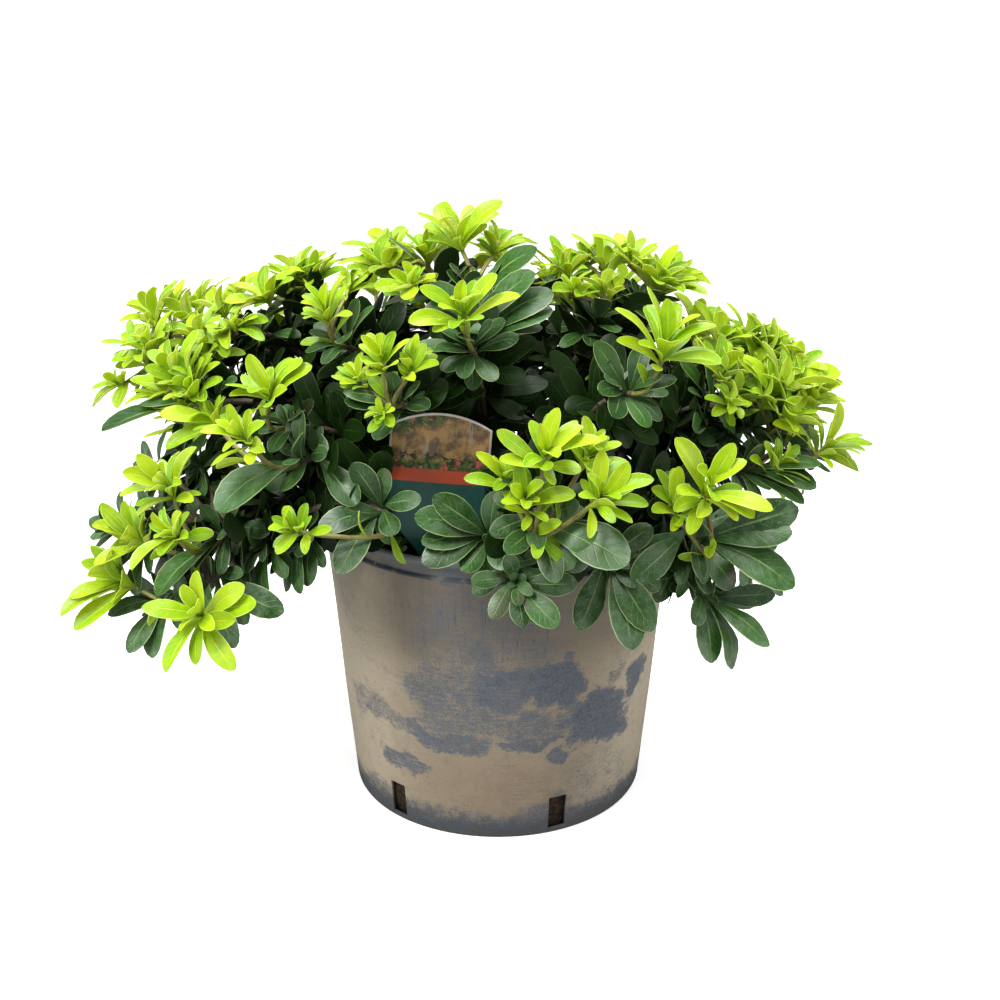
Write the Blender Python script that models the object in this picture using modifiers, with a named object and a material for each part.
"""Potted dwarf pittosporum in a 28 cm nursery container.

Metres, +Z up. The origin is the middle of the pot's underside, and the viewer's side is -Y.
The shrub is one woody frame that carries leafy branches. Each branch ends in one or more whorls of
old dark leaves, and above most whorls stands this year's growth: green stems with rosettes of young
leaves. A leaf that would cross another piece is swung or lifted clear, and left off where no room is.
"""
import math

import bmesh
import bpy
from mathutils import Matrix, Vector
from mathutils.bvhtree import BVHTree

MM = 0.001
GAP = 0.0004                    # clearance where one piece ends against the next

# Pot: a turned plastic shell with a recessed band under its lip
POT_HEIGHT = 0.243
POT_BASE_RADIUS = 0.120
POT_SHOULDER_RADIUS = 0.140     # at the top of the tapered wall
POT_SHOULDER_HEIGHT = 0.227
POT_WALL = 0.0020
POT_FLOOR = 0.0030
POT_BAND_DEPTH = 0.0028         # how far the band under the lip is set back
POT_LIP_RADIUS = 0.1418
POT_SIDES = 48
SLOT_COUNT = 6
SLOT_FIRST = math.radians(21 - 90)   # from +X; the first slot is just right of the front
SLOT_WIDTH = 0.013
SLOT_BOTTOM = 0.005
SLOT_TOP = 0.033

# Soil and the trunk that stands in it
SOIL_EDGE_HEIGHT = 0.2215
SOIL_MIDDLE_HEIGHT = 0.227
TRUNK_RADIUS = 0.012
TRUNK_FOOT = 0.165              # lower end, inside the soil
TRUNK_TOP = 0.335
TRUNK_HOLE = 0.0128

# Plant label: a card with an arched top and a stake
LABEL_WIDTH = 0.074
LABEL_HEIGHT = 0.150
LABEL_THICK = 0.0010
LABEL_PLACE = Vector((-0.0515, -0.104, 0.196))    # tip of the stake
LABEL_LEAN = math.radians(4.5)
STAKE_WIDTH = 0.011

# Clover seedling by the rim
CLOVER_FOOT = Vector((-0.070, -0.086, 0.214))
CLOVER_HEAD = Vector((-0.078, -0.090, 0.2435))

# Leaves
HEART = Vector((0.0, 0.0, 0.23))     # shoots point away from here
VIEW_TILT = math.radians(20.2)       # leaf offsets are read looking down this far from the front
LEAF_THICK = 0.0008
LEAF_ROOM = 0.0016                   # thickness that a leaf keeps free for itself
LEAF_ARCH = 0.09                     # rise of the middle, of the leaf's length
LEAF_OUTLINE = ((0.64, 0.48), (0.64, -0.48), (0.97, 0.21), (0.97, -0.21))   # (along, to the side)
LEAF_OUTER_PART = 0.20               # from here on a leaf keeps clear of its own whorl
LEAF_SWELL = 1.06                    # of its width, while it is tried
LEAF_SHARES = (1.0, 0.86, 0.72)      # of its length, tried in this order
SWINGS = (0, 8, -8, 16, -16, 26, -26)       # degrees round the shoot
LIFTS = (0, 8, -8, 16, -16, 26, -24)        # degrees towards the shoot's axis
YOUNG_LENGTH = 0.027                 # shortest true length of a leaf that is seen end on
OLD_LENGTH = 0.034
YOUNG_WIDTH = 0.37                   # of the leaf's length
OLD_WIDTH = 0.42
LARGE_ROSETTE = 0.026                # mean length of the leaves as seen, and so on down
MIDDLE_ROSETTE = 0.018
SMALLEST_ROSETTE = 0.0155            # smaller ones are left out of the solid
OLD_LEAVES = 5                       # at most, in a whorl
FIRST_ROOT = 0.0012                  # below the stem's end
ROOT_STEP = 0.0019                   # from one leaf's root down to the next
SPIRAL_YOUNG_LENGTH = 0.040          # leaves placed by the spiral rule
SPIRAL_OLD_LENGTH = 0.050
SPIRAL_YOUNG_LEAVES = 4
GOLDEN_ANGLE = math.radians(137.5)

# Stems
LIMB_RADIUS = 0.0042
LIMB_LOWEST = 0.238                  # on the trunk
LIMB_RISE = 0.42                     # of the foot's height over the lowest foot
LIMB_SWELL = 0.006
FOOT_LIFT = 0.012
FOOT_LOWEST = 0.258                  # clears the rim
BRANCH_RADIUS = 0.0026
BRANCH_FORK = 0.007                  # from the foot
BRANCH_ARCH = 0.22                   # of the stem's span
RIM_ARCH_HEIGHT = 0.30               # ends below this are reached in a higher arch
RIM_ARCH = 0.35
GROWTH_RADIUS = 0.0019
GROWTH_FORK = 0.006                  # from the whorl
GROWTH_RUN = 0.40                    # of the stem's span, before it bends
STEM_TAPER = 0.12

# Joining
CRUMB = 0.0006                       # shorter edges are collapsed after a join
SMALLEST_FACE = 0.00000002           # twice the area, in square metres, that a collapse may leave
WELD = 0.00001

# Each shoot, in millimetres: the whorl's place, the tips of its old leaves, and its rosettes with the
# tips of their young leaves. Tips are (right, up) from their centre, as seen from the front.
# A shoot with no tips, on the far side, takes its leaves from the spiral rule.
SHOOTS = {
    "crown": ((-17, -20, 408), [(-2, 24), (18, 30), (32, 30), (45, 42), (-18, 30), (-21, 24)], [
        ((-30, 0, 449), [(-30, 25), (-14, 32), (-8, 28), (9, 30), (30, 34), (30, 24), (21, 15)]),
        ((-1, 20, 438), [(-5, 27), (9, 19), (21, 12), (31, 10), (-15, 5)]),
    ]),
    "crown_left": ((-47, 10, 416), [(-38, 37), (-38, 24), (-47, 10), (-19, 15), (-29, -13), (-56, -25)], [
        ((-54, 10, 437), [(-16, 20), (-8, 17), (-2, 22), (7, 23), (-14, -4)]),
        ((-86, 30, 432), [(-37, 12), (-14, 24), (-2, 24), (11, 26), (-22, 3), (-18, -3)]),
        ((-61, -60, 424), [(-18, 16), (-8, 23), (1, 20), (-29, 4), (15, 11), (-4, -5)]),
    ]),
    "front_top": ((-18, -110, 394), [(-25, 1), (32, 10), (23, 21), (13, 20), (-6, 9), (16, -20),
        (-23, 18)], [
        ((-24, -130, 426), [(-29, 17), (-36, -5), (0, 21), (23, 26), (38, 13), (13, -3), (-6, 10),
            (-19, -11)]),
    ]),
    "front_left": ((-69, -120, 356), [(-6, 23), (13, 16), (-40, 10), (-34, 13), (20, -2), (-39, 4),
        (-18, -24)], [
        ((-79, -130, 393), [(-15, 16), (-1, 17), (17, 14), (-10, -10), (9, -3), (-12, -4)]),
        ((-58, -130, 385), [(2, 25), (8, 18), (17, 4), (-1, -6), (-9, 9)]),
        ((-99, -120, 375), [(-10, 11), (3, 19), (6, 6), (-18, 3), (-12, -3)]),
        ((-79, -150, 356), [(-4, 14), (-12, 3), (7, 6), (-10, -10), (7, -6)]),
    ]),
    "left_top": ((-114, -50, 381), [(10, 35), (20, 31), (-29, -1), (-17, -8), (0, -25), (-26, 12)], [
        ((-125, -60, 410), [(-15, 21), (-1, 20), (13, 26), (-17, -4), (-18, 8), (16, 0)]),
        ((-111, -10, 418), [(-9, 11), (5, 13), (12, 9), (18, 1), (-5, -11)]),
    ]),
    "left_rear": ((-166, 30, 397), [(-16, -8), (7, 15), (-21, -13), (10, 8), (19, 17), (-6, -22)], [
        ((-152, 40, 415), [(-11, 16), (2, 22), (14, 21), (-36, 10), (21, 17)]),
    ]),
    "left_high": ((-189, 0, 381), [(-19, 14), (16, -17), (12, 9), (-4, -17), (35, -4)], [
        ((-204, 40, 398), [(1, 18), (15, 23), (-6, 10), (-16, 6), (16, -2)]),
        ((-198, -30, 386), [(-11, 12), (14, 13), (19, -1), (-24, 5), (23, 11), (-9, -8)]),
    ]),
    "left_far": ((-252, 60, 360), [(-2, 0), (8, -10), (-20, -10), (20, 7)], [
        ((-240, 70, 387), [(21, 21), (-3, 12), (-12, 5), (-15, -26)]),
        ((-267, 90, 382), [(-9, 13), (2, 22), (-11, 3), (10, 9)]),
        ((-283, 70, 381), [(-11, 7), (-5, 10), (11, 7), (-9, -7)]),
    ]),
    "left_edge": ((-261, 0, 351), [(-16, -5), (-4, -3), (12, 14), (-24, -21)], [
        ((-277, 0, 369), [(-12, 21), (-16, 10), (-32, 4), (-6, 14), (3, 16), (-10, -10)]),
        ((-260, 30, 367), [(-10, 11), (6, 12), (-18, 2), (12, -6)]),
        ((-293, -20, 340), [(-12, 12), (-22, -13), (-2, -15), (12, 2)]),
    ]),
    "left_mid": ((-217, -60, 339), [(-36, -5), (-17, 4), (-51, 2), (-80, -19), (20, 19), (13, -19)], [
        ((-222, -70, 358), [(-6, 31), (4, 19), (16, 16), (-18, 13), (-1, -13), (-30, 0)]),
        ((-217, -30, 368), [(-8, 16), (22, 6), (2, 9), (-18, 5)]),
    ]),
    "front_left_high": ((-153, -100, 333), [(9, 13), (-18, 9), (-12, -16), (17, 20), (28, -17)], [
        ((-159, -120, 364), [(-17, 28), (-33, 8), (-30, 1), (15, 27), (22, 22), (-1, 18), (10, 4)]),
    ]),
    "front_left_mid": ((-142, -120, 313), [(-60, -32), (-1, 37), (-9, 1), (39, -29), (-14, -19), (19, 8)], [
        ((-175, -150, 342), [(-30, 5), (-11, 23), (9, 11), (-20, 12), (-24, -18), (13, -9), (3, -17)]),
        ((-208, -90, 336), [(-39, 5), (-35, -20), (-17, 6), (-15, -15)]),
    ]),
    "left_low": ((-202, -120, 255), [(36, 7), (-23, -23), (-1, -26), (-49, -39), (13, 28), (-20, -5)], [
        ((-234, -130, 299), [(-24, 22), (-34, 10), (-5, 17), (16, 28), (-36, -6), (15, -10), (-24, -20)]),
        ((-264, -120, 253), [(-32, 12), (-26, 26), (-11, 28), (-20, 12), (-32, -15), (10, 6)]),
        ((-223, -170, 278), [(-17, 15), (3, 15), (24, 1), (-12, -14), (-32, -24), (-14, -2)]),
    ]),
    "left_bottom": ((-210, -130, 220), [(51, -18), (15, -44), (27, -26), (23, 10), (-16, 14), (-20, -27)], [
        ((-276, -120, 222), [(-32, 13), (-25, 25), (-41, -11), (-47, -27), (-37, -37), (-2, 24)]),
        ((-204, -190, 225), [(-42, 7), (-15, 21), (-5, 31), (27, 21), (36, 8), (21, -3), (-27, -39),
            (-6, -34), (20, -37), (-17, -9)]),
    ]),
    "left_hanging": ((-245, -115, 203), [(-46, -9), (-31, -39), (-15, -42), (8, -21), (-15, 19)], []),
    "rim_left": ((-80, -135, 280), [(-24, 36), (0, 32), (24, 11), (-29, 3), (-34, -43), (5, -15),
        (-47, -8)], [
        ((-143, -170, 280), [(-6, 16), (28, 2), (9, -15), (-15, 2)]),
    ]),
    "rim_front": ((-5, -150, 262), [(-52, 21), (-49, 1), (-48, -13), (-20, -19), (-41, 34), (10, -16)], []),
    "rim_front_low": ((13, -168, 240), [(-17, -25), (5, -31), (29, -30), (-32, 2), (42, -1), (-7, 19)], []),
    "front_right": ((26, -170, 284), [(-30, -5), (26, -28), (15, -39), (64, -24), (52, -17), (3, -15)], [
        ((18, -185, 309), [(-4, 24), (12, 12), (34, 4), (0, -20), (-12, 1), (-7, 9)]),
        ((32, -180, 341), [(-32, 15), (-30, -4), (9, 30), (-3, 19), (25, 18), (38, 8), (24, -12),
            (6, -22)]),
        ((4, -175, 322), [(-16, 17), (-25, 1), (-5, 13)]),
        ((71, -190, 313), [(1, 30), (33, 13), (20, -17), (-9, -28), (-13, 3), (7, -15)]),
        ((63, -160, 334), [(28, -8), (11, 12), (-3, 25), (2, -10)]),
    ]),
    "rim_right": ((82, -140, 244), [(-23, -48), (15, -63), (30, -48), (18, -17), (-16, -27), (35, -20)], []),
    "right_low": ((145, -130, 254), [(-46, -27), (4, -24), (33, -11), (70, -29), (68, 10), (71, 24),
        (-41, -11)], [
        ((142, -160, 308), [(-17, 35), (22, 31), (31, 19), (49, -13), (35, -17), (25, -19), (-8, -31),
            (-19, -14)]),
        ((121, -150, 292), [(-8, 25), (7, 27), (-11, -4), (1, -18)]),
    ]),
    "right_hanging": ((156, -110, 201), [(52, 4), (49, -31), (26, -47), (5, -47), (7, 9), (-26, 8)], []),
    "right_front_high": ((97, -100, 359), [(-26, 37), (-19, 11), (-22, 4), (22, 14), (32, 11),
        (12, -23), (-13, -16)], [
        ((116, -115, 394), [(-9, 46), (-30, 32), (-32, 8), (3, 37), (26, 26), (36, 20), (41, -7),
            (-5, -13)]),
    ]),
    "right_rear": ((78, 0, 391), [(-22, 5), (-41, -9), (-6, -21), (17, -13), (-29, -21), (2, 14)], [
        ((54, -10, 410), [(-4, 17), (6, 15), (16, 21), (-12, 5)]),
        ((80, 0, 411), [(8, 18), (15, 12), (-5, 13)]),
        ((68, 50, 425), [(-14, 12), (-2, 14), (10, 15), (17, 3), (-21, 0)]),
    ]),
    "right_top": ((112, 20, 399), [(31, 2), (-31, -22), (16, 9), (-16, 13), (12, -14)], [
        ((102, 30, 427), [(-26, 25), (-9, 25), (2, 27), (14, 22), (23, 18), (11, -9)]),
        ((125, 20, 413), [(16, 31), (19, 26), (-2, 23), (43, 7), (38, -5), (20, 7)]),
    ]),
    "right_mid": ((170, -20, 327), [(-20, 12), (23, 16), (-12, -19), (19, -19), (-28, 35), (3, -27)], [
        ((178, 20, 360), [(10, 20), (-11, 31), (15, 4), (-17, 12)]),
        ((173, -10, 343), [(20, 14), (-12, 6), (1, 23)]),
        ((170, -60, 338), [(8, 19), (-14, 6), (13, -9), (-8, -6)]),
    ]),
    "right_high": ((199, -20, 306), [(-25, -16), (26, -8), (-9, 23), (10, -20), (-41, -8)], [
        ((214, -30, 340), [(-22, 31), (-6, 28), (9, 27), (48, 18), (49, 6), (41, -3), (12, -12), (20, 23)]),
        ((213, 20, 357), [(-2, 23), (18, 19), (29, 10), (-20, 23)]),
    ]),
    "right_edge": ((190, -50, 280), [(58, 9), (55, -10), (46, -21), (19, -12), (15, 22), (12, -20)], [
        ((253, -40, 300), [(10, 34), (-11, 16), (28, 9), (36, 3), (5, -17), (21, -8), (-38, 19),
            (25, -19)]),
        ((211, -60, 289), [(27, -8), (-17, 8)]),
    ]),
    "back_top": ((20, 90, 385), [], [((0, 100, 415), []), ((50, 110, 400), [])]),
    "back_mid": ((5, 170, 325), [], [((-25, 200, 350), []), ((35, 190, 358), [])]),
    "back_left_high": ((-100, 100, 360), [], [((-105, 130, 388), [])]),
    "back_left": ((-175, 130, 300), [], [((-205, 160, 325), []), ((-165, 185, 318), [])]),
    "left_side": ((-215, 50, 275), [], [((-262, 62, 288), [])]),
    "back_right_high": ((100, 100, 352), [], [((105, 130, 380), [])]),
    "back_right": ((175, 115, 290), [], [((215, 130, 312), []), ((175, 165, 318), [])]),
    "right_side": ((195, 55, 255), [], [((245, 70, 272), [])]),
    "back_low_left": ((-80, 190, 262), [], [((-85, 243, 275), [])]),
    "back_low_right": ((75, 190, 258), [], [((78, 244, 270), [])]),
}

# Shoots that share one woody branch. The branch is named for its first shoot.
BRANCHES = (
    ("crown", "crown_left"),
    ("front_top",),
    ("front_left",),
    ("left_top", "left_rear"),
    ("left_high", "left_far"),
    ("left_edge", "left_mid"),
    ("front_left_high", "front_left_mid"),
    ("left_low",),
    ("left_bottom", "left_hanging"),
    ("rim_left",),
    ("rim_front", "rim_front_low"),
    ("front_right", "rim_right"),
    ("right_low", "right_hanging"),
    ("right_front_high",),
    ("right_rear", "right_top"),
    ("right_mid", "right_high"),
    ("right_edge",),
    ("back_top", "back_mid"),
    ("back_left_high", "back_left", "left_side"),
    ("back_right_high", "back_right", "right_side"),
    ("back_low_left", "back_low_right"),
)

# Foot and bending point, in millimetres, of the stem that passes to the left of the label
FEET = {"rim_left": (-80, -50, 270)}
BENDS = {"rim_left": (-100, -105, 300)}

RIGHT = Vector((1.0, 0.0, 0.0))
UP = Vector((0.0, math.sin(VIEW_TILT), math.cos(VIEW_TILT)))
NEAR = Vector((0.0, -math.cos(VIEW_TILT), math.sin(VIEW_TILT)))


def clear_scene():
    for obj in list(bpy.data.objects):
        bpy.data.objects.remove(obj)


def new_collection(name):
    collection = bpy.data.collections.new(name)
    bpy.context.scene.collection.children.link(collection)
    return collection


def plain_material(name, colour, roughness):
    material = bpy.data.materials.new(name)
    material.use_nodes = True
    shader = material.node_tree.nodes["Principled BSDF"]
    shader.inputs["Base Color"].default_value = (*colour, 1.0)
    shader.inputs["Roughness"].default_value = roughness
    shader.inputs["Metallic"].default_value = 0.0
    return material


def finish(obj, collection, material):
    """Put a finished piece in the part's collection with its own material."""
    for owner in list(obj.users_collection):
        owner.objects.unlink(obj)
    collection.objects.link(obj)
    obj.data.materials.clear()
    obj.data.materials.append(material)


def evaluated_mesh(obj):
    graph = bpy.context.evaluated_depsgraph_get()
    return bpy.data.meshes.new_from_object(obj.evaluated_get(graph))


def turned(name, profile, sides, collection):
    """Turn a profile of (radius, height) points, given from inside over the top and down the outside."""
    mesh = bpy.data.meshes.new(name)
    edges = [(k, k + 1) for k in range(len(profile) - 1)]
    mesh.from_pydata([(r, 0.0, z) for r, z in profile], edges, [])
    obj = bpy.data.objects.new(name, mesh)
    collection.objects.link(obj)
    screw = obj.modifiers.new("turn", "SCREW")
    screw.steps = sides
    screw.render_steps = sides
    screw.use_merge_vertices = True
    screw.merge_threshold = WELD
    return obj


def cut(obj, cutter, name):
    boolean = obj.modifiers.new(name, "BOOLEAN")
    boolean.operation = "DIFFERENCE"
    boolean.object = cutter


def as_cutter(obj, collection):
    for owner in list(obj.users_collection):
        owner.objects.unlink(obj)
    collection.objects.link(obj)
    obj.hide_render = True
    obj.display_type = "WIRE"


def cutter_cylinder(name, radius, low, high, collection):
    bpy.ops.mesh.primitive_cylinder_add(
        vertices=16, radius=radius, depth=(high - low).length, location=(low + high) / 2
    )
    obj = bpy.context.object
    obj.name = name
    obj.rotation_euler = (high - low).to_track_quat("Z", "Y").to_euler()
    as_cutter(obj, collection)
    return obj


def tube(name, points, radii, sides):
    """A tapered round stem through the points, capped at both ends, as a mesh object."""
    curve = bpy.data.curves.new(name, "CURVE")
    curve.dimensions = "3D"
    curve.bevel_depth = 1.0
    curve.bevel_resolution = (sides - 4) // 2
    curve.use_fill_caps = True
    spline = curve.splines.new("POLY")
    spline.points.add(len(points) - 1)
    for point, place, radius in zip(spline.points, points, radii):
        point.co = (*place, 1.0)
        point.radius = radius
    source = bpy.data.objects.new(name, curve)
    bpy.context.scene.collection.objects.link(source)
    mesh = evaluated_mesh(source)
    obj = bpy.data.objects.new(name, mesh)
    obj.matrix_world = source.matrix_world
    bpy.context.scene.collection.objects.link(obj)
    bpy.data.objects.remove(source)
    bm = bmesh.new()
    bm.from_mesh(mesh)
    bmesh.ops.remove_doubles(bm, verts=bm.verts, dist=WELD)
    bmesh.ops.recalc_face_normals(bm, faces=bm.faces)
    bm.to_mesh(mesh)
    bm.free()
    return obj


def bend(start, middle, end, count):
    """Points of a quadratic curve that leaves start towards middle and arrives at end from middle."""
    points = []
    for k in range(count + 1):
        t = k / count
        points.append(start * (1 - t) ** 2 + middle * 2 * t * (1 - t) + end * t ** 2)
    return points


def join(name, pieces):
    """Unite the pieces of a node in one closed body."""
    base = pieces[0]
    others = bpy.data.collections.new("joining")
    bpy.context.scene.collection.children.link(others)
    for piece in pieces[1:]:
        bpy.context.scene.collection.objects.unlink(piece)
        others.objects.link(piece)
    union = base.modifiers.new("join", "BOOLEAN")
    union.operation = "UNION"
    union.operand_type = "COLLECTION"
    union.collection = others
    union.solver = "MANIFOLD"
    obj = bpy.data.objects.new(name, evaluated_mesh(base))
    bpy.context.scene.collection.objects.link(obj)
    for piece in pieces:
        bpy.data.objects.remove(piece)
    bpy.data.collections.remove(others)
    drop_scraps(obj)
    collapse_crumbs(obj)
    return obj


def drop_scraps(obj):
    """Keep only the largest connected body of a joined piece."""
    bm = bmesh.new()
    bm.from_mesh(obj.data)
    left = set(bm.verts)
    bodies = []
    while left:
        body = {left.pop()}
        edge = list(body)
        while edge:
            vert = edge.pop()
            for link in vert.link_edges:
                other = link.other_vert(vert)
                if other in left:
                    left.discard(other)
                    body.add(other)
                    edge.append(other)
        bodies.append(body)
    bodies.sort(key=len, reverse=True)
    scraps = [vert for body in bodies[1:] for vert in body]
    bmesh.ops.delete(bm, geom=scraps, context="VERTS")
    bm.to_mesh(obj.data)
    bm.free()
    if len(bodies) > 1:
        print(obj.name, "loose pieces dropped:", len(bodies) - 1)


def collapse_crumbs(obj):
    """Collapse the short edges that joining leaves at the roots, where that keeps the body closed."""
    bm = bmesh.new()
    bm.from_mesh(obj.data)
    on_edges = [vert for vert in bm.verts if len(vert.link_edges) == 2]
    bmesh.ops.dissolve_verts(bm, verts=on_edges)
    bmesh.ops.triangulate(bm, faces=bm.faces[:])
    settled = False
    while not settled:
        settled = True
        short = [edge for edge in bm.edges if edge.calc_length() < CRUMB]
        for edge in sorted(short, key=lambda item: item.calc_length()):
            if edge.is_valid and may_collapse(edge):
                middle = (edge.verts[0].co + edge.verts[1].co) / 2
                bmesh.ops.pointmerge(bm, verts=list(edge.verts), merge_co=middle)
                settled = False
    bmesh.ops.recalc_face_normals(bm, faces=bm.faces)
    bm.to_mesh(obj.data)
    bm.free()


def may_collapse(edge):
    """True if the ends share two neighbours only, and no face round them would turn over."""
    first, second = edge.verts
    near_first = {link.other_vert(first) for link in first.link_edges}
    near_second = {link.other_vert(second) for link in second.link_edges}
    if len(near_first & near_second) != 2:
        return False
    middle = (first.co + second.co) / 2
    for vert, other in ((first, second), (second, first)):
        for face in vert.link_faces:
            if other in face.verts:
                continue
            corners = [middle if corner == vert else corner.co for corner in face.verts]
            normal = (corners[1] - corners[0]).cross(corners[2] - corners[0])
            if normal.length < SMALLEST_FACE or normal.normalized().dot(face.normal) < 0.5:
                return False
    return True


class Room:
    """What has been placed so far, so that a new leaf can be tried against it."""

    def __init__(self):
        self.taken = []

    def take(self, bm, node, kind):
        tree = BVHTree.FromBMesh(bm)
        corners = [vert.co.copy() for vert in bm.verts]
        middle = sum(corners, Vector()) / len(corners)
        reach = max((corner - middle).length for corner in corners)
        self.taken.append((tree, middle, reach, node, kind))

    def take_object(self, obj, node, kind):
        bm = bmesh.new()
        bm.from_mesh(evaluated_mesh(obj))
        bm.transform(obj.matrix_world)
        self.take(bm, node, kind)
        bm.free()

    def is_free(self, whole, outer, node):
        """Try the whole leaf against other nodes, and its outer part against its own node's leaves."""
        whole_tree = BVHTree.FromBMesh(whole)
        outer_tree = BVHTree.FromBMesh(outer)
        corners = [vert.co for vert in whole.verts]
        middle = sum(corners, Vector()) / len(corners)
        reach = max((corner - middle).length for corner in corners)
        for tree, place, size, owner, kind in self.taken:
            if (place - middle).length > reach + size:
                continue
            if owner != node:
                if kind != "outer" and tree.overlap(whole_tree):
                    return False
            elif kind in ("outer", "stem") and tree.overlap(outer_tree):
                return False
        return True


def blade(root, tip, face, width, thickness, start=0.0, grow=1.0):
    """A leaf as an even slab, arched along its length: a wedge from the root and a blunt outer part."""
    along = tip - root
    length = along.length
    along.normalize()
    face = (face - along * face.dot(along)).normalized()
    across = along.cross(face)

    def point(t, side):
        rise = LEAF_ARCH * length * 4 * t * (1 - t)
        return root + along * length * t + face * rise + across * side * width * grow

    bm = bmesh.new()
    root_end, left, right, left_tip, right_tip = (
        bm.verts.new(point(t, side)) for t, side in ((start, 0.0), *LEAF_OUTLINE)
    )
    bm.faces.new((root_end, right, left))
    bm.faces.new((left, right, right_tip, left_tip))
    bm.normal_update()
    bmesh.ops.solidify(bm, geom=bm.faces[:], thickness=thickness)
    bmesh.ops.recalc_face_normals(bm, faces=bm.faces)
    return bm


def turned_leaf(offset, axis, swing, lift):
    hinge = axis.cross(offset)
    if hinge.length < 1e-6:
        return offset
    moved = Matrix.Rotation(-math.radians(lift), 3, hinge.normalized()) @ offset
    return Matrix.Rotation(math.radians(swing), 3, axis) @ moved


def grow_leaf(name, root, offset, axis, width_share, room, node):
    """Place one leaf, swung, lifted or shortened until it is clear of everything. None if it can't be."""
    for share in LEAF_SHARES:
        for swing in SWINGS:
            for lift in LIFTS:
                way = turned_leaf(offset, axis, swing, lift) * share
                width = width_share * way.length
                whole = blade(root, root + way, axis, width, LEAF_ROOM, grow=LEAF_SWELL)
                outer = blade(
                    root, root + way, axis, width, LEAF_ROOM, start=LEAF_OUTER_PART, grow=LEAF_SWELL
                )
                free = room.is_free(whole, outer, node)
                if free:
                    room.take(whole, node, "whole")
                    room.take(outer, node, "outer")
                whole.free()
                outer.free()
                if free:
                    bm = blade(root, root + way, axis, width, LEAF_THICK)
                    mesh = bpy.data.meshes.new(name)
                    bm.to_mesh(mesh)
                    bm.free()
                    obj = bpy.data.objects.new(name, mesh)
                    bpy.context.scene.collection.objects.link(obj)
                    return obj
    return None


def seen_leaf(offset, shortest, axis, index):
    """The true offset of a leaf's tip from its (right, up) offset. Long ones lie nearly across the view."""
    flat = (RIGHT * offset[0] + UP * offset[1]) * MM
    length = max(1.12 * flat.length, shortest)
    depth = math.sqrt(length ** 2 - flat.length ** 2)
    facing = axis.dot(NEAR)
    if abs(facing) > 0.35:
        side = math.copysign(1.0, facing)
    else:
        side = 1.0 if index % 2 == 0 else -1.0
    return flat + NEAR * depth * side


def spiral_leaf(index, count, length, axis):
    """The golden-angle rule: low leaves stand out flat and long, upper ones are steeper and shorter."""
    share = index / count
    pitch = math.radians(82 - 40 * share)
    turn = Matrix.Rotation(GOLDEN_ANGLE * index, 3, axis)
    out = turn @ axis.orthogonal().normalized()
    return (axis * math.cos(pitch) + out * math.sin(pitch)) * length * (1 - 0.25 * share)


def mean_length(tips):
    return sum(math.hypot(*tip) for tip in tips) / len(tips) * MM


def rosettes(shoot):
    """The shoot's rosettes, without the smallest."""
    return [item for item in SHOOTS[shoot][2] if not item[1] or mean_length(item[1]) > SMALLEST_ROSETTE]


def young_count(tips):
    """Large rosettes keep five leaves, middling ones four, and small ones three."""
    if not tips:
        return SPIRAL_YOUNG_LEAVES
    mean = mean_length(tips)
    return 5 if mean > LARGE_ROSETTE else 4 if mean > MIDDLE_ROSETTE else 3


def leaf_offsets(tips, count, shortest, length, axis):
    if not tips:
        return [spiral_leaf(k, count, length, axis) for k in range(count)]
    longest = sorted(tips, key=lambda tip: -math.hypot(*tip))[:count]
    return [seen_leaf(tip, shortest, axis, k) for k, tip in enumerate(tips) if tip in longest]


def whorl(name, centre, way, offsets, axis, width_share, room, node):
    """Leaves whose roots step back down the stem from its end."""
    leaves = []
    for k, offset in enumerate(offsets):
        root = centre - way * (FIRST_ROOT + ROOT_STEP * k)
        leaf = grow_leaf("%s_%d" % (name, k), root, offset, axis, width_share, room, node)
        if leaf:
            leaves.append(leaf)
    return leaves


def place(shoot):
    return Vector(SHOOTS[shoot][0]) * MM


def branch_foot(branch):
    """Where a branch leaves its limb: half way out to its whorls, and over the rim for the low ones."""
    if branch[0] in FEET:
        return Vector(FEET[branch[0]]) * MM
    middle = sum((place(shoot) for shoot in branch), Vector()) / len(branch)
    foot = HEART.lerp(middle, 0.5)
    foot.z = max(foot.z + FOOT_LIFT, FOOT_LOWEST)
    return foot


def limb_start(foot):
    """Height on the trunk at which the limb to this foot begins."""
    return Vector((0.0, 0.0, LIMB_LOWEST + LIMB_RISE * (foot.z - FOOT_LOWEST)))


def limb_middle(foot):
    return limb_start(foot).lerp(foot, 0.55) + Vector((0.0, 0.0, LIMB_SWELL))


def arch_over_rim(fork, end):
    """Bending point of a woody stem: low ends are reached in an arch over the rim."""
    lift = BRANCH_ARCH * (end - fork).length
    if end.z < RIM_ARCH_HEIGHT:
        lift += RIM_ARCH * (RIM_ARCH_HEIGHT - end.z)
    return fork.lerp(end, 0.5) + Vector((0.0, 0.0, lift))


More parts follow.
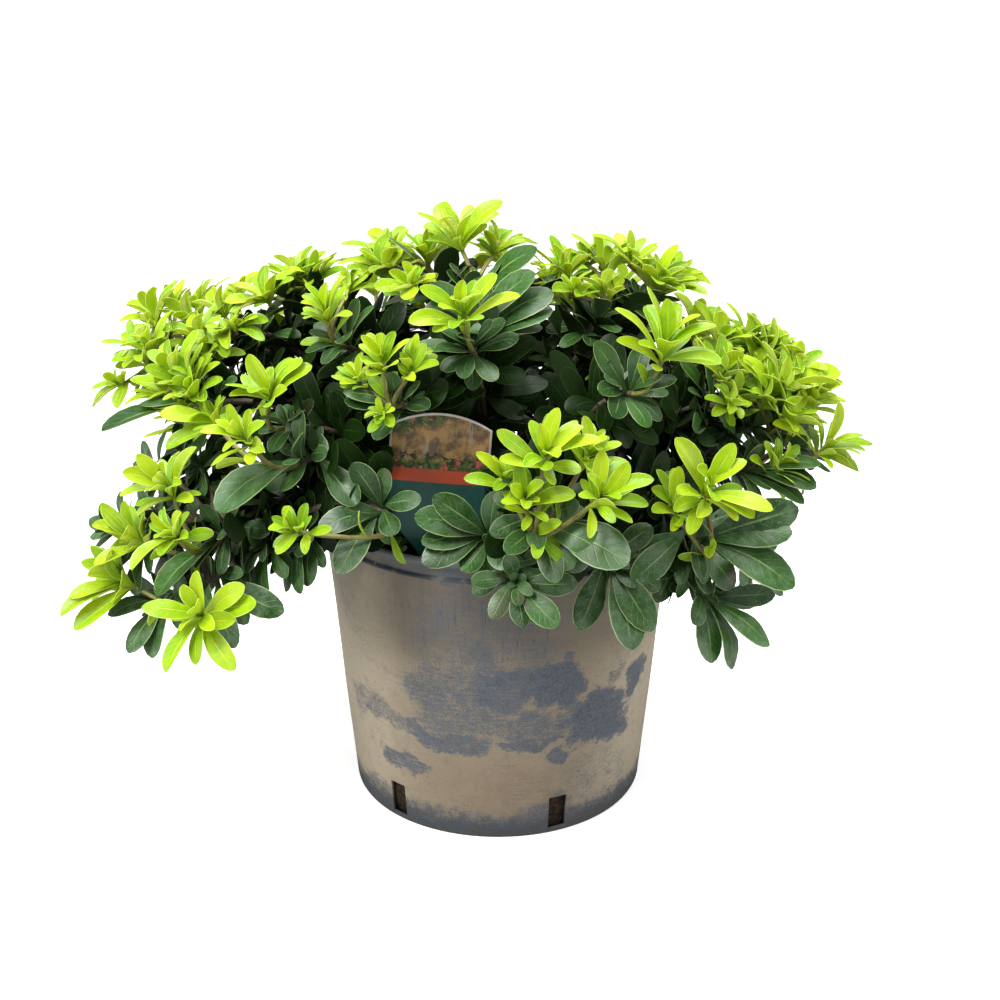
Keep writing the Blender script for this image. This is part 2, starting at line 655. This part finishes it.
def make_pot(parts, cutters):
    wall_top = POT_SHOULDER_RADIUS
    band = wall_top - POT_BAND_DEPTH
    z0 = POT_SHOULDER_HEIGHT
    profile = [
        (0.0, POT_FLOOR),
        (POT_BASE_RADIUS - POT_WALL, POT_FLOOR),
        (wall_top - POT_WALL - 0.0006, z0 - 0.006),
        (band - POT_WALL, z0 + 0.0005),
        (band - POT_WALL, POT_HEIGHT - 0.005),
        (band - 0.0008, POT_HEIGHT - 0.0015),
        (band + 0.0012, POT_HEIGHT),
        (POT_LIP_RADIUS - 0.0010, POT_HEIGHT - 0.0004),
        (POT_LIP_RADIUS, POT_HEIGHT - 0.0022),
        (POT_LIP_RADIUS - 0.0008, POT_HEIGHT - 0.0052),
        (band, POT_HEIGHT - 0.0075),
        (band, z0 + 0.0018),
        (wall_top, z0),
        (POT_BASE_RADIUS + 0.0003, 0.0035),
        (POT_BASE_RADIUS - 0.0030, 0.0),
        (0.0, 0.0),
    ]
    pot = turned("pot", profile, POT_SIDES, parts)
    for k in range(SLOT_COUNT):
        angle = SLOT_FIRST + k * 2 * math.pi / SLOT_COUNT
        bpy.ops.mesh.primitive_cube_add(size=1.0)
        slot = bpy.context.object
        slot.name = "slot_%d" % (k + 1)
        slot.scale = (0.03, SLOT_WIDTH, SLOT_TOP - SLOT_BOTTOM)
        slot.rotation_euler = (0.0, 0.0, angle)
        middle = (SLOT_TOP + SLOT_BOTTOM) / 2
        slot.location = (POT_BASE_RADIUS * math.cos(angle), POT_BASE_RADIUS * math.sin(angle), middle)
        as_cutter(slot, cutters)
        cut(pot, slot, slot.name)
    finish(pot, parts, plain_material("pot_plastic", (0.24, 0.20, 0.15), 0.6))
    return pot


def make_soil(parts, cutters):
    """Soil fills the pot, with plain holes for the trunk, the label's stake and the clover."""
    side = GAP + POT_WALL
    slope = (POT_SHOULDER_RADIUS - POT_BASE_RADIUS) / POT_SHOULDER_HEIGHT
    edge = POT_BASE_RADIUS + slope * SOIL_EDGE_HEIGHT - side - 0.0008
    profile = [
        (0.0, SOIL_MIDDLE_HEIGHT),
        (0.05, SOIL_MIDDLE_HEIGHT - 0.0006),
        (0.10, SOIL_EDGE_HEIGHT + 0.0020),
        (edge, SOIL_EDGE_HEIGHT),
        (POT_BASE_RADIUS - side - 0.0012, POT_FLOOR + GAP),
        (0.0, POT_FLOOR + GAP),
    ]
    soil = turned("soil", profile, POT_SIDES, parts)
    hole = cutter_cylinder(
        "trunk_hole", TRUNK_HOLE, Vector((0, 0, TRUNK_FOOT - GAP)), Vector((0, 0, 0.26)), cutters
    )
    cut(soil, hole, "trunk_hole")
    bpy.ops.mesh.primitive_cube_add(size=1.0, location=LABEL_PLACE + Vector((0.0005, 0.0, 0.0185)))
    slit = bpy.context.object
    slit.name = "stake_slit"
    slit.scale = (STAKE_WIDTH + 0.004, LABEL_THICK + 0.0008, 0.038)
    slit.rotation_euler = (0.0, LABEL_LEAN, 0.0)
    as_cutter(slit, cutters)
    cut(soil, slit, "stake_slit")
    way = (CLOVER_HEAD - CLOVER_FOOT).normalized()
    pit = cutter_cylinder(
        "clover_hole", 0.0013, CLOVER_FOOT - way * GAP, CLOVER_FOOT + way * 0.02, cutters
    )
    cut(soil, pit, "clover_hole")
    finish(soil, parts, plain_material("soil", (0.045, 0.032, 0.022), 0.95))
    return soil


def make_label(parts):
    """Card with an arched top, drawn upright from the tip of its stake."""
    half = LABEL_WIDTH / 2
    shoulder = LABEL_HEIGHT - 0.011
    card_low = LABEL_HEIGHT - 0.072
    stake = STAKE_WIDTH / 2
    outline = [(0.0, 0.0), (stake, 0.020), (stake, 0.030), (0.016, 0.046), (0.030, 0.062), (half, card_low)]
    outline.append((half, shoulder))
    for k in range(1, 8):
        x = half * (1 - k / 4)
        outline.append((x, shoulder + 0.011 * (1 - (x / half) ** 2)))
    outline.append((-half, shoulder))
    outline += [(-x, y) for x, y in outline[5:0:-1]]
    curve = bpy.data.curves.new("label", "CURVE")
    curve.dimensions = "2D"
    curve.fill_mode = "BOTH"
    curve.extrude = LABEL_THICK / 2
    spline = curve.splines.new("POLY")
    spline.points.add(len(outline) - 1)
    for point, (x, y) in zip(spline.points, outline):
        point.co = (x, y, 0.0, 1.0)
    spline.use_cyclic_u = True
    source = bpy.data.objects.new("label_outline", curve)
    bpy.context.scene.collection.objects.link(source)
    mesh = evaluated_mesh(source)
    bpy.data.objects.remove(source)
    bm = bmesh.new()
    bm.from_mesh(mesh)
    bmesh.ops.remove_doubles(bm, verts=bm.verts, dist=WELD)
    bmesh.ops.recalc_face_normals(bm, faces=bm.faces)
    bm.to_mesh(mesh)
    bm.free()
    label = bpy.data.objects.new("label", mesh)
    label.location = LABEL_PLACE
    label.rotation_euler = (math.radians(90), LABEL_LEAN, 0.0)
    bpy.context.scene.collection.objects.link(label)
    finish(label, parts, plain_material("label_card", (0.50, 0.34, 0.22), 0.45))
    return label


def make_trunk(parts):
    """Trunk with a leader, and one limb curving out to each branch."""
    pieces = [
        tube(
            "leader",
            [Vector((0, 0, z)) for z in (TRUNK_FOOT, 0.22, 0.24, 0.27, TRUNK_TOP)],
            [TRUNK_RADIUS, TRUNK_RADIUS, 0.0115, 0.0095, 0.0045],
            8,
        )
    ]
    for k, branch in enumerate(BRANCHES):
        foot = branch_foot(branch)
        points = bend(limb_start(foot), limb_middle(foot), foot, 3)
        radii = [LIMB_RADIUS * (1 - STEM_TAPER * step) for step in range(4)]
        pieces.append(tube("limb_%d" % k, points, radii, 4))
    trunk = join("trunk", pieces)
    finish(trunk, parts, plain_material("bark", (0.10, 0.07, 0.045), 0.85))
    return trunk


def forked(name, start, fork, middles, ends, radius, steps):
    """Stems that part at a fork, each bending to its own end. Also each stem's way at its end.

    The first stem runs on from the start, and the others leave it from inside the fork.
    """
    pieces = []
    ways = []
    for k, (middle, end) in enumerate(zip(middles, ends)):
        path = bend(fork, middle, end, steps)
        if k == 0:
            path.insert(0, start)
        radii = [radius * (1 - STEM_TAPER * step / (len(path) - 1)) for step in range(len(path))]
        pieces.append(tube("stem_%s_%d" % (name, k), path, radii, 4))
        ways.append((end - middle).normalized())
    return pieces, ways


def branch_stems(branch):
    """Stem tubes of one branch, and the direction in which each whorl's stem arrives."""
    foot = branch_foot(branch)
    way = (foot - limb_middle(foot)).normalized()
    ends = [place(shoot) for shoot in branch]
    fork = foot + way * BRANCH_FORK
    if branch[0] in BENDS:
        middles = [Vector(BENDS[branch[0]]) * MM]
    else:
        middles = [arch_over_rim(fork, end) for end in ends]
    return forked(branch[0], foot + way * GAP, fork, middles, ends, BRANCH_RADIUS, 3)


def growth_stems(shoot, way):
    """Green stems from a whorl to its rosettes, and the direction in which each one arrives."""
    fork = place(shoot) + way * GROWTH_FORK
    ends = [Vector(spot) * MM for spot, _ in rosettes(shoot)]
    middles = [fork + way * GROWTH_RUN * (end - fork).length for end in ends]
    return forked(shoot, place(shoot) + way * GAP, fork, middles, ends, GROWTH_RADIUS, 2)


def shoot_axis(spot):
    return (spot - HEART).normalized()


def make_clover(parts):
    """Three leaflets on a thin stalk."""
    way = (CLOVER_HEAD - CLOVER_FOOT).normalized()
    pieces = [tube("stalk", [CLOVER_FOOT, CLOVER_HEAD], [0.0009, 0.0009], 6)]
    for k in range(3):
        out = Matrix.Rotation(math.radians(120 * k + 15), 3, way) @ way.orthogonal().normalized()
        root = CLOVER_HEAD - way * 0.0006
        bm = blade(root, root + (out + way * 0.15).normalized() * 0.009, way, 0.008, LEAF_THICK)
        mesh = bpy.data.meshes.new("leaflet")
        bm.to_mesh(mesh)
        bm.free()
        leaflet = bpy.data.objects.new("leaflet_%d" % k, mesh)
        bpy.context.scene.collection.objects.link(leaflet)
        pieces.append(leaflet)
    clover = join("clover", pieces)
    finish(clover, parts, plain_material("clover_leaf", (0.10, 0.22, 0.03), 0.5))
    return clover


def build():
    clear_scene()
    parts = new_collection("potted_pittosporum")
    cutters = new_collection("cutters")
    room = Room()
    for obj in (make_pot(parts, cutters), make_soil(parts, cutters), make_label(parts), make_trunk(parts),
                make_clover(parts)):
        bpy.context.view_layer.update()
        room.take_object(obj, obj.name, "fixed")

    branch_parts = {}
    growth_parts = {}
    for branch in BRANCHES:
        stems, ways = branch_stems(branch)
        node = "branch_" + branch[0]
        branch_parts[branch] = (stems, ways)
        for stem in stems:
            room.take_object(stem, node, "stem")
        for shoot, way in zip(branch, ways):
            if rosettes(shoot):
                growth_parts[shoot] = growth_stems(shoot, way)
                for stem in growth_parts[shoot][0]:
                    room.take_object(stem, "growth_" + shoot, "stem")

    wanted = 0
    grown = 0
    for shoot, (stems, ways) in growth_parts.items():
        node = "growth_" + shoot
        for k, (spot, tips) in enumerate(rosettes(shoot)):
            centre = Vector(spot) * MM
            axis = shoot_axis(centre)
            offsets = leaf_offsets(tips, young_count(tips), YOUNG_LENGTH, SPIRAL_YOUNG_LENGTH, axis)
            leaves = whorl("leaf_%d" % k, centre, ways[k], offsets, axis, YOUNG_WIDTH, room, node)
            wanted += len(offsets)
            grown += len(leaves)
            stems.extend(leaves)
    for branch, (stems, ways) in branch_parts.items():
        node = "branch_" + branch[0]
        for shoot, way in zip(branch, ways):
            centre = place(shoot)
            axis = shoot_axis(centre)
            offsets = leaf_offsets(SHOOTS[shoot][1], OLD_LEAVES, OLD_LENGTH, SPIRAL_OLD_LENGTH, axis)
            leaves = whorl("leaf_" + shoot, centre, way, offsets, axis, OLD_WIDTH, room, node)
            wanted += len(offsets)
            grown += len(leaves)
            stems.extend(leaves)
    print("leaves wanted", wanted, "grown", grown)

    for branch, (pieces, _) in branch_parts.items():
        obj = join("branch_" + branch[0], pieces)
        finish(obj, parts, plain_material(obj.name, (0.045, 0.10, 0.028), 0.4))
    for shoot, (pieces, _) in growth_parts.items():
        obj = join("growth_" + shoot, pieces)
        finish(obj, parts, plain_material(obj.name, (0.36, 0.52, 0.03), 0.4))


build()
